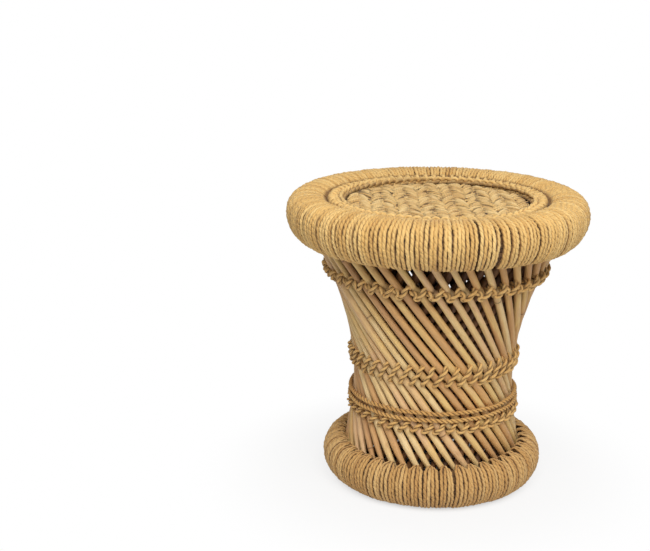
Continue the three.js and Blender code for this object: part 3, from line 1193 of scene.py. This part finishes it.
# %% Two-ply tree: sizes and middle line
cord_tree, port = start_tree(
    "Two-ply cord",
    {
        "Cord radius": 2.2 * MM,
        "Lay": 9 * MM,
        "Step": 1.3 * MM,
        "Groove middle": 0.0,
        "Groove reach": 1.0,
        "Seen from above": 0.0,
        "Outline": 0.75,
        "Sides": 6,
        "Seed": 1,
        "Finish": "cord",
    },
)
cords = to_curve(cord_tree, port["Geometry"])
cords = add_node(
    cord_tree, "GeometryNodeCurveSplineType", {"Curve": cords}, spline_type="CATMULL_ROM"
)
cords = add_node(
    cord_tree,
    "GeometryNodeResampleCurve",
    {"Curve": cords, "Length": port["Step"]},
    mode="LENGTH",
)
cord_number = add_node(cord_tree, "GeometryNodeInputIndex")
cord_tone = chance(cord_tree, cord_number, port["Seed"], 0.0, 1.0)
cords = keep(cord_tree, cords, "tone", cord_tone, domain="CURVE")
start_twist = chance(cord_tree, cord_number, port["Seed"] + 1, 0.0, any_phase)
cords = keep(cord_tree, cords, "start_twist", start_twist, domain="CURVE")
print("inputs of the cord tree:", len(port))

# %% [markdown]
# The two plies start as the same line. Each point is pushed off it by half the cord's radius, in a
# direction that turns as one goes along, and the second ply is half a turn behind the first.

# %% Two-ply tree: the plies
ply_swing = 0.5
ply_girth = 0.52

plies, ply_number = repeat(cord_tree, cords, 2)
how_far = along_spline(cord_tree)
plies = keep(cord_tree, plies, "along", how_far)
ply_angle = (
    how_far * (2 * math.pi) / port["Lay"] + ply_number * math.pi + recall(cord_tree, "start_twist")
)
plies = keep(cord_tree, plies, "twist", ply_angle)
middle = add_node(cord_tree, "GeometryNodeInputPosition")
plies = keep(cord_tree, plies, "middle", middle, kind="FLOAT_VECTOR")
across = add_node(cord_tree, "GeometryNodeInputNormal")
forward = add_node(cord_tree, "GeometryNodeInputTangent")
upward = vector_math(cord_tree, "CROSS_PRODUCT", forward, across)
swing_out = port["Cord radius"] * ply_swing
by_normal = vector_math(
    cord_tree, "SCALE", across, scale=recall(cord_tree, "twist").apply("COSINE") * swing_out
)
by_binormal = vector_math(
    cord_tree, "SCALE", upward, scale=recall(cord_tree, "twist").apply("SINE") * swing_out
)
plies = shift(cord_tree, plies, vector_math(cord_tree, "ADD", by_normal, by_binormal))
plies = skin(cord_tree, plies, port["Cord radius"] * ply_girth, port["Sides"])
print("nodes so far:", len(cord_tree.nodes))

# %% [markdown]
# Cords that cross are told apart by the dark line between them, where little light gets in. So the
# tree stores a shade: it is dark on the side of the cord that faces the canes, in the crease between
# the plies, and where a plait sinks beside its middle. Each point compares its place with the cord's
# middle line. A cord that lies flat is seen from above, so for that one the underside is dark.

# %% Two-ply tree: the shade
outline_from = -0.2
outline_until = 0.3
crease_full = 0.45
crease_ends = 0.9
crease_share = 0.6
groove_blend = 4 * MM


def distance_and_level(tree, position):
    """How far a point lies from the stool's axis, and how high."""
    x, y, z = parts(tree, position)
    return vector_math(tree, "LENGTH", vector(tree, x, y, 0.0), output="Value"), z


skin_place = add_node(cord_tree, "GeometryNodeInputPosition")
middle = recall(cord_tree, "middle", kind="FLOAT_VECTOR")
skin_distance, skin_level = distance_and_level(cord_tree, skin_place)
middle_distance, middle_level = distance_and_level(cord_tree, middle)
outward = skin_distance - middle_distance
above = skin_level - middle_level
facing = (outward + (above - outward) * port["Seen from above"]) / port["Cord radius"]
outline = (1 - smooth_step(cord_tree, facing, outline_from, outline_until)) * port["Outline"]
off_cord = vector_math(cord_tree, "DISTANCE", skin_place, middle, output="Value")
depth_share = off_cord / port["Cord radius"]
crease = (1 - smooth_step(cord_tree, depth_share, crease_full, crease_ends)) * crease_share
off_middle = (skin_distance - port["Groove middle"]).apply("ABSOLUTE") - port["Groove reach"]
in_groove = smooth_step(cord_tree, off_middle, 0.0, groove_blend)
shade = outline.apply("MAXIMUM", crease).apply("MAXIMUM", in_groove)
plies = keep(cord_tree, plies, "shade", shade)
end_tree(cord_tree, plies, port["Finish"])

# %% [markdown]
# ## Lashing rows
#
# Three rows of cord tie the outer canes to the inner ones, each with a stitch of its own. A stitch
# is easiest to think of on the cane itself, as points that say how far to the side, how far up and
# how far out from the cane's middle line they lie, in millimetres. A helper carries those points to
# every cane in turn, and joins one stitch to the next.

# %% Stitches on the canes
stretch_play = 0.1


def on_cane(number, height, side, up, out):
    """A point near an outer cane: to its side, above the row's height, and out from its middle."""
    level = height + up
    azimuth = cane_azimuth(height, -1) + number * bay_angle + side / outer_radius(height)
    return around(outer_radius(level) + stand_off(out, level), azimuth, level)


def stitch_row(height, stitch, play, seed):
    """One endless cord that makes the same stitch on every cane, each a little different."""
    dice = random.Random(seed)
    line = []
    for number in range(cane_count):
        sway = dice.uniform(-play, play)
        rise = dice.uniform(-play, play)
        stretch = 1 + dice.uniform(-stretch_play, stretch_play)
        for side, up, out in stitch:
            along_row = (side * stretch + sway) * MM
            above_row = (up * stretch + rise) * MM
            line.append(on_cane(number, height, along_row, above_row, out * MM))
    return line


def lash(row, height, stitch, play, seed, sizes):
    """Ties one row and hangs it in place of the frame's plain cord."""
    line = stitch_row(height, stitch, play, seed)
    guide = make_guide(row + "_guide", [line], closed=True)
    cord = grow(row + "_lashing", guide, cord_tree, {"Finish": lashing_finish, **sizes})
    fit(cord, "lashing_cord", "lashing_row_" + row)


print("canes between two stitches: %.1f mm" % (bay_angle * waist_radius / MM))

# %% [markdown]
# The waist row is a plain lacing. Its cord takes one steep stroke up over two canes, dives in, and
# comes back down behind the canes, where it isn't seen.

# %% Waist row
waist_stitch = (
    (0.4, -11.0, -1.0),
    (1.2, -9.8, 4.0),
    (3.2, -6.0, 7.4),
    (6.8, 0.0, 7.2),
    (10.4, 6.0, 7.4),
    (12.4, 9.8, 4.0),
    (13.4, 11.0, -1.0),
    (13.6, 5.0, -6.5),
    (13.6, -5.0, -6.5),
)
waist_row_height = 154 * MM
waist_sizes = {"Cord radius": 3.1 * MM, "Lay": 20 * MM}
lash("waist", waist_row_height, waist_stitch, play=0.5, seed=7, sizes=waist_sizes)

# %% [markdown]
# The top row has a turned stitch. The cord comes out between two canes, bends down in a small hook
# over the cane, and rises to the next gap on the other side, so the row looks like a thick chain.

# %% Top row
top_stitch = (
    (-9.4, -1.6, -4.6),
    (-9.0, 1.2, 2.6),
    (-6.4, 2.2, 6.0),
    (-4.2, -0.6, 6.8),
    (-4.8, -4.4, 6.0),
    (-2.0, -5.6, 7.2),
    (1.6, -1.6, 8.8),
    (4.6, 3.4, 8.2),
    (6.8, 6.8, 4.8),
    (8.6, 4.8, -2.4),
)
top_row_height = 259 * MM
top_sizes = {"Cord radius": 3.3 * MM, "Lay": 20 * MM}
lash("top", top_row_height, top_stitch, play=0.6, seed=8, sizes=top_sizes)

# %% [markdown]
# The low row is the simplest: a short slanting stroke on each cane, and a return behind it.

# %% Low row
low_stitch = (
    (-6.0, -4.8, -1.0),
    (-5.0, -4.4, 3.8),
    (-2.2, -2.2, 6.8),
    (2.0, 2.0, 7.2),
    (4.6, 4.4, 4.8),
    (6.2, 4.6, 0.0),
    (6.6, 2.0, -4.6),
    (6.6, -2.6, -4.6),
)
low_row_height = 92 * MM
low_sizes = {"Cord radius": 2.9 * MM, "Lay": 17 * MM, "Outline": 0.6}
lash("low", low_row_height, low_stitch, play=0.5, seed=9, sizes=low_sizes)

# %% [markdown]
# ## Girdle cords
#
# Two plain cords run side by side round the canes under the waist. They make no stitch, so their
# guide is just a circle that wavers a little in height. They are twisted more tightly than the
# lashings, and lie smooth, so they get a weaker outline.

# %% Girdle cords
girdle_radius = 2.7 * MM
girdle_gap = 0.35 * MM
girdle_waver = 1.0 * MM

for girdle, girdle_height, seed in (("upper", 111 * MM, 3), ("lower", 102.5 * MM, 4)):
    reach = cane_radius + girdle_radius + girdle_gap
    radius = outer_radius(girdle_height) + stand_off(reach, girdle_height)
    girdle_line = circle_line(radius, girdle_height, 2 * cane_count, girdle_waver, seed)
    girdle_cord = grow(
        girdle + "_girdle",
        make_guide(girdle + "_girdle_guide", [girdle_line], closed=True),
        cord_tree,
        {
            "Cord radius": girdle_radius,
            "Lay": 12 * MM,
            "Outline": 0.35,
            "Finish": lashing_finish,
            "Seed": seed,
        },
    )
    fit(girdle_cord, "lashing_cord", "girdle_cord_" + girdle)

# %% [markdown]
# ## Plaited rim
#
# A plait of three cords edges the seat. In a plait each strand swings from side to side, and dips
# under or rides over twice for each swing, so its side to side wave has half the pace of its up and
# down wave. Three strands a third of a wave apart give the whole plait.

# %% Plaited rim
rim_radius = 117.6 * MM
rim_height = 336.5 * MM
rim_strand_radius = 4.3 * MM
plait_waves = 24
plait_swing = 6.6 * MM
plait_dip = 3.4 * MM
plait_steps = 540


def plait_strand(strand):
    line = []
    for i in range(plait_steps):
        azimuth = 2 * math.pi * i / plait_steps
        wave = azimuth * plait_waves + strand * 2 * math.pi / 3
        radius = rim_radius + plait_swing * math.sin(wave)
        height = rim_height + plait_dip * math.sin(2 * wave)
        line.append(around(radius, azimuth, height))
    return line


rim = grow(
    "seat_rim_plait",
    make_guide("rim_guide", [plait_strand(strand) for strand in range(3)], closed=True),
    cord_tree,
    {
        "Cord radius": rim_strand_radius,
        "Lay": 15 * MM,
        "Step": 1.8 * MM,
        "Groove middle": rim_radius,
        "Groove reach": 6.4 * MM,
        "Seen from above": 1.0,
        "Finish": seat_cord_finish,
    },
)
fit(rim, "seat_cord", "seat_mat_rim")

# %% [markdown]
# ## Twined seat mat
#
# The mat shows bands of slanting floats, and each band slants against its neighbour. The floats lie
# two together, and each is a short arch of cord whose ends dive under the next band. Where the ends
# dive the finish paints a dark pit as painted shade, darker at some floats than at others, so each
# float draws its own by chance.

# %% Mat tree
mat_beside_shade = 0.8
darkest_pit_shade = 1.25
pit_from = 0.3
pit_full = 0.95
twist_by_tone = 40

mat_tree, port = start_tree(
    "Mat cords",
    {
        "Cord radius": 2.2 * MM,
        "Lay": 9 * MM,
        "Ply depth": 0.6 * MM,
        "Sides": 6,
        "Seed": 1,
        "Finish": "cord",
    },
)
mat_cords = to_curve(mat_tree, port["Geometry"])
mat_number = add_node(mat_tree, "GeometryNodeInputIndex")
mat_tone = chance(mat_tree, mat_number, port["Seed"], 0.0, 1.0)
mat_cords = keep(mat_tree, mat_cords, "tone", mat_tone, domain="CURVE")
mat_cords = keep(mat_tree, mat_cords, "along", along_spline(mat_tree))
# Painted shade on the flanks of the floats, where they lie side by side.
mat_cords = keep(mat_tree, mat_cords, "loose", mat_beside_shade)
toward_end = (along_spline(mat_tree, "Factor") * 2 - 1).apply("ABSOLUTE")
# Painted shade in the pit where a float's ends dive, stronger at some floats than at others.
pit = chance(mat_tree, mat_number, port["Seed"] + 1, 0.0, darkest_pit_shade).apply("POWER", 2.0)
end_shade = smooth_step(mat_tree, toward_end, pit_from, pit_full) * pit
mat_cords = keep(mat_tree, mat_cords, "shade", end_shade)
lay_angle = along_spline(mat_tree) * (2 * math.pi) / port["Lay"]
mat_twist = lay_angle + recall(mat_tree, "tone") * twist_by_tone
mat_cords = keep(mat_tree, mat_cords, "twist", mat_twist)
mat_tubes = skin(mat_tree, mat_cords, port["Cord radius"], port["Sides"])
end_tree(mat_tree, raise_plies(mat_tree, mat_tubes, port["Ply depth"]), port["Finish"])

# %% [markdown]
# The mat sags a little towards its middle and drops at its edge. A float is an arch on that surface,
# cut off where it would pass the edge.

# %% One float
mat_radius = 106.2 * MM
mat_top = 339 * MM
mat_sag = 4 * MM
mat_half = 4 * MM
mat_edge_drop = 3 * MM
mat_limit = 104 * MM
furthest_past_edge = 1.07
float_length = 33 * MM
float_slope = math.radians(56)
float_radius = 2.3 * MM
float_dive = 3.2 * MM
float_steps = 6
floats_together = 2
band_overlap = 0.76
float_crowding = 0.94
pair_gap = 0.8 * MM
column_width = float_length * math.cos(float_slope) * band_overlap
float_pitch = 2 * float_radius / math.cos(float_slope) * float_crowding
group_pitch = floats_together * float_pitch + pair_gap


def mat_level(x, y):
    share = math.hypot(x, y) / mat_radius
    return mat_top - mat_sag * (1 - share**2) - mat_edge_drop * share**8


def float_line(middle_x, middle_y, slope, half, lift, side):
    """One arched float, kept inside the mat's edge. Side is 1 for the upper face, -1 for the lower."""
    line = []
    for i in range(float_steps + 1):
        share = 2 * i / float_steps - 1
        x = middle_x + half * share * math.cos(slope)
        y = middle_y + half * share * math.sin(slope)
        dive = float_dive * abs(share) ** 3
        depth = float_radius - lift * (1 - share * share) + dive
        level = mat_level(x, y) - mat_half + side * (mat_half - depth)
        past_edge = math.hypot(x, y) / mat_limit
        if past_edge < furthest_past_edge:
            inside = max(past_edge, 1)
            line.append((x / inside, y / inside, level))
    return line


print("bands across the mat: %.1f" % (2 * mat_radius / column_width))

# %% [markdown]
# Hand work is never quite regular. Each band starts at its own height, each pair of floats sits,
# slants and stands up a little differently, and each float in a pair has some play of its own. The
# lengths of play are in millimetres.

# %% Both faces of the mat
column_play = 2
group_play = 1
slope_play = 0.16
lift_range = (-0.4, 1.6)
own_slope_play = 0.06
own_length_play = 0.12
own_lift_play = 0.3
least_points = 4
upper_face_seed = 21
lower_face_seed = 22


def mat_floats(side, seed):
    dice = random.Random(seed)
    lines = []
    columns = int(2 * mat_radius / column_width) + 2
    groups = int(2 * mat_radius / group_pitch) + 4
    for column in range(columns):
        turn = 1 if column % 2 else -1
        column_x = (column - (columns - 1) / 2) * column_width
        stagger = dice.uniform(-0.5, 0.5) * group_pitch
        for group in range(groups):
            group_x = column_x + dice.uniform(-column_play, column_play) * MM
            group_y = (group - groups / 2) * group_pitch + stagger
            group_y += dice.uniform(-group_play, group_play) * MM
            group_slope = turn * (float_slope + dice.uniform(-slope_play, slope_play))
            group_lift = dice.uniform(*lift_range) * MM
            for number in range(floats_together):
                line = float_line(
                    group_x,
                    group_y + number * float_pitch,
                    group_slope + dice.uniform(-own_slope_play, own_slope_play),
                    float_length / 2 * (1 + dice.uniform(-own_length_play, own_length_play)),
                    group_lift + dice.uniform(-own_lift_play, own_lift_play) * MM,
                    side,
                )
                if len(line) >= least_points:
                    lines.append(line)
    return lines


float_lines = mat_floats(1, upper_face_seed) + mat_floats(-1, lower_face_seed)
print("floats:", len(float_lines))
mat_face = grow(
    "seat_mat_floats",
    make_guide("float_guide", float_lines),
    mat_tree,
    {"Cord radius": float_radius, "Finish": mat_finish},
)
fit(mat_face, "seat_cord", "seat_mat")

# %% [markdown]
# Between the two faces lie straight cords that run along the bands, which the floats are twined
# round. One more cord runs round under the edge and closes the gap between the mat and the rim.
# Both are seen only as something dark between the floats, so they get the dark finish of the grass,
# as painted shade.

# %% Cords inside the mat
chord_pitch = 4.6 * MM
chord_radius = 2.2 * MM
chord_drop = 0.4 * MM
chord_steps = 24
edge_cord_circle = 105.2 * MM
edge_cord_height = 328.3 * MM
edge_cord_radius = 3.6 * MM
edge_cord_waver = 0.4 * MM
edge_cord_steps = 150
edge_cord_seed = 5


def mat_chords():
    """Straight cords across the mat, half way between its two faces."""
    lines = []
    within = mat_radius - 2 * float_radius
    count = int(2 * within / chord_pitch)
    for i in range(count):
        x = (i - (count - 1) / 2) * chord_pitch
        reach = math.sqrt(within**2 - x * x)
        line = []
        for step in range(chord_steps + 1):
            y = reach * (2 * step / chord_steps - 1)
            line.append((x, y, mat_level(x, y) - mat_half - chord_drop))
        lines.append(line)
    return lines


edge_line = circle_line(
    edge_cord_circle, edge_cord_height, edge_cord_steps, edge_cord_waver, edge_cord_seed
)
mat_inside = grow(
    "seat_mat_straight_cords",
    make_guide("chord_guide", mat_chords()),
    mat_tree,
    {"Cord radius": chord_radius, "Finish": grass_finish},
)
fit(mat_inside, "grass")
mat_edge = grow(
    "seat_mat_edge_cord",
    make_guide("edge_guide", [edge_line], closed=True),
    mat_tree,
    {"Cord radius": edge_cord_radius, "Finish": grass_finish},
)
fit(mat_edge, "grass")

# %% [markdown]
# ## Surround
#
# The photograph is a plain shot on white. A white surround fills the shadows. It looks pure white
# to the camera and in a gloss, but lights the stool more weakly, so that the lamp can shape it.

# %% Surround
surround_strength = 0.28

bpy.context.scene.view_settings.view_transform = "Standard"
world = bpy.data.worlds.new("surround")
world.use_nodes = True
bpy.context.scene.world = world
sky = world.node_tree
sky_node = sky.nodes["Background"]
sky_node.inputs["Color"].default_value = (1, 1, 1, 1)


def seen_plainly(tree):
    """1 for what the camera sees, straight or in a gloss or through glass, and 0 for other light."""
    node = tree.nodes.new("ShaderNodeLightPath")
    seen = Wire(tree, node.outputs["Is Camera Ray"])
    for other in ("Is Glossy Ray", "Is Transmission Ray"):
        seen = seen.apply("MAXIMUM", Wire(tree, node.outputs[other]))
    return seen


sky_strength = seen_plainly(sky) * (1 - surround_strength) + surround_strength
plug(sky, sky_node.inputs["Strength"], sky_strength)
print("surround strength:", surround_strength)

# %% [markdown]
# ## Lamp
#
# One big soft lamp stands above and in front, a little to the right, and points at the middle of
# the stool. Its size keeps the shadows between the cords soft.

# %% Lamp
lamp_place = Vector((0.12, -1.4, 1.75))
lamp_target = Vector((0, 0, 0.2))
lamp_width = 1.6
lamp_power = 41

lamp_data = bpy.data.lights.new("soft_lamp", "AREA")
lamp_data.shape = "DISK"
lamp_data.size = lamp_width
lamp_data.energy = lamp_power
lamp = bpy.data.objects.new("soft_lamp", lamp_data)
bpy.context.scene.collection.objects.link(lamp)
lamp.location = lamp_place
lamp.rotation_euler = (lamp_target - lamp_place).to_track_quat("-Z", "Y").to_euler()
print("lamp stands %.2f m from the stool" % (lamp_target - lamp_place).length)

# %% [markdown]
# ## Floor
#
# The floor keeps the stool's soft shadow and pales into the surround further out. So it is a mix of
# a matt floor and plain white, and the white takes over with the distance from the stool.

# %% Floor
floor_half = 3.0
floor_grey = 0.8
dark_under_stool = (0.085, 0.125)
paling = (0.12, 0.3)
white_beside_stool = 0.82

floor_mesh = bpy.data.meshes.new("floor")
floor_corners = [(x * floor_half, y * floor_half, 0) for x, y in ((-1, -1), (1, -1), (1, 1), (-1, 1))]
floor_mesh.from_pydata(floor_corners, [], [(0, 1, 2, 3)])
floor = bpy.data.objects.new("floor", floor_mesh)
bpy.context.scene.collection.objects.link(floor)
floor_finish = bpy.data.materials.new("floor")
floor_finish.use_nodes = True
tree = floor_finish.node_tree
tree.nodes.clear()
matt = tree.nodes.new("ShaderNodeBsdfDiffuse")
matt.inputs["Color"].default_value = (floor_grey, floor_grey, floor_grey, 1)
glow = tree.nodes.new("ShaderNodeEmission")
mix = tree.nodes.new("ShaderNodeMixShader")
leave = tree.nodes.new("ShaderNodeOutputMaterial")
spot = add_node(tree, "ShaderNodeTexCoord", output="Object")
distance = vector_math(tree, "LENGTH", spot, output="Value")
outside = smooth_step(tree, distance, *dark_under_stool)
paled = smooth_step(tree, distance, *paling) * (1 - white_beside_stool) + white_beside_stool
plug(tree, mix.inputs[0], outside * paled * seen_plainly(tree))
tree.links.new(matt.outputs[0], mix.inputs[1])
tree.links.new(glow.outputs[0], mix.inputs[2])
tree.links.new(mix.outputs[0], leave.inputs["Surface"])
floor_mesh.materials.append(floor_finish)
print("floor across: %.1f m" % (2 * floor_half))

# %% [markdown]
#
# The dressed stool must be as big as the frame.

# %% End
print("the stool is dressed")
